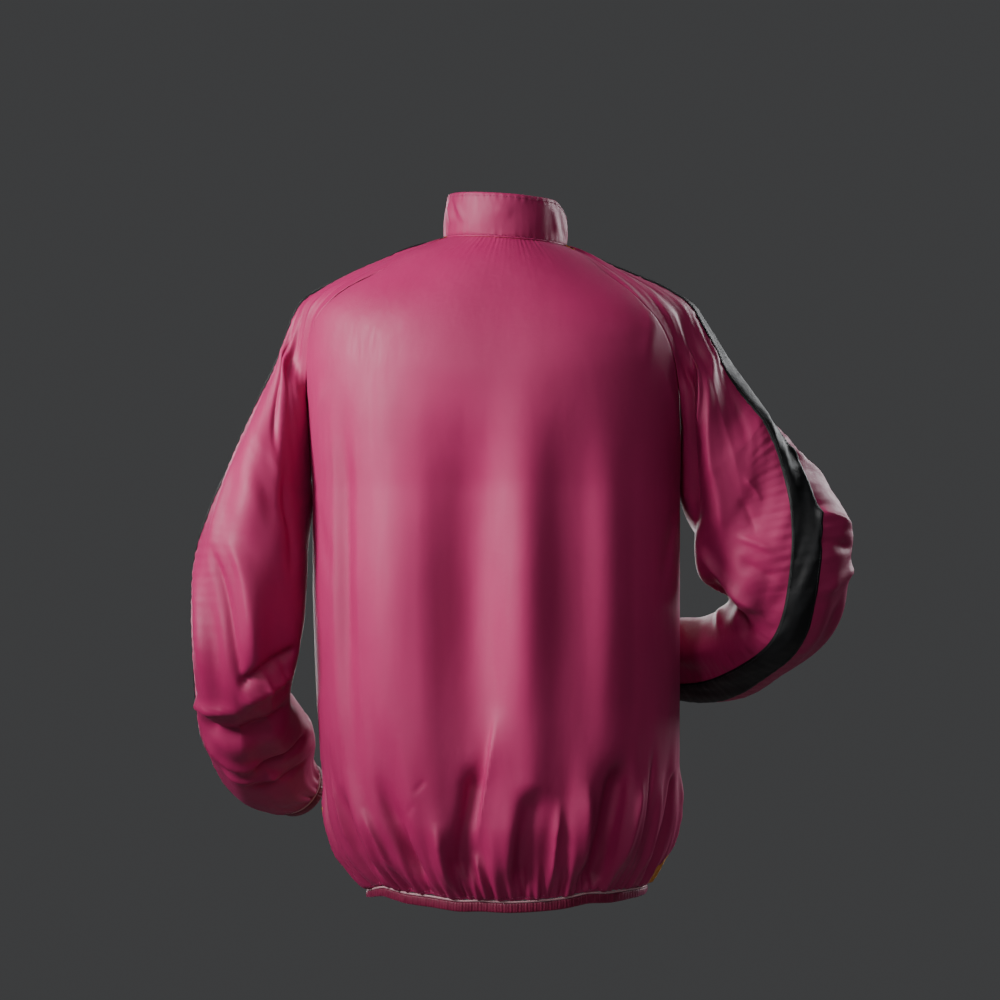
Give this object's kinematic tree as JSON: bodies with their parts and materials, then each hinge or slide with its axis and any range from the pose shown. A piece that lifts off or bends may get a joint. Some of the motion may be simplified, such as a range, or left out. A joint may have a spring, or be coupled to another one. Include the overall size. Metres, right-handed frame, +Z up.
{
  "type": "reversible windbreaker",
  "caption": "Zip-front reversible windbreaker in plum woven polyester with raglan sleeves, a stand collar and gathered, bound hem and cuffs, hollow as worn.",
  "frame": {"origin": "middle of the neck opening, level with the collar seam at the back, where the wearer's neck is", "axes": "+Z up; the front with the zip faces -Y; +X is towards the wearer's left"},
  "size_m": [0.7109, 0.3648, 0.7614],
  "materials": {
    "plum_cloth": "plain-woven polyester with a soft satin sheen, plum",
    "mustard_cloth": "plain-woven polyester with a soft satin sheen, mustard",
    "plum_binding": "plain-woven polyester binding with a soft satin sheen, dark plum",
    "pale_piping": "matt woven piping, pale pink",
    "black_tape": "matt twill tape, black",
    "zip_tape": "matt herringbone zip tape with moulded teeth, dark plum",
    "zip_metal": "satin nickel-plated zinc"
  },
  "bodies": {
    "garment": {"back": "plum_cloth", "lower_back": "plum_cloth", "front_left": "plum_cloth", "front_right": "plum_cloth", "front_hem_left": "mustard_cloth", "front_hem_right": "mustard_cloth", "sleeve_left": "plum_cloth", "sleeve_right": "plum_cloth", "upper_arm_left": "plum_cloth", "upper_arm_right": "plum_cloth", "forearm_left": "plum_cloth", "forearm_right": "plum_cloth", "wrist_right": "plum_cloth", "collar": "plum_cloth", "hem_binding": "plum_binding", "hem_piping": "pale_piping", "cuff_binding_left": "plum_binding", "cuff_binding_right": "plum_binding", "cuff_piping_left": "pale_piping", "cuff_piping_right": "pale_piping", "sleeve_tape_left": "black_tape", "sleeve_tape_right": "black_tape", "zip": "zip_tape", "zip_slider": "zip_metal"},
    "pull": {"zip_pull": "zip_metal"}
  },
  "joints": [
    {"name": "pull_swing", "type": "hinge", "parent": "garment", "child": "pull", "pos_m": [0, -0.07079, -0.01983], "axis": [-1, 0, 0], "range_deg": [0, 170]}
  ]
}
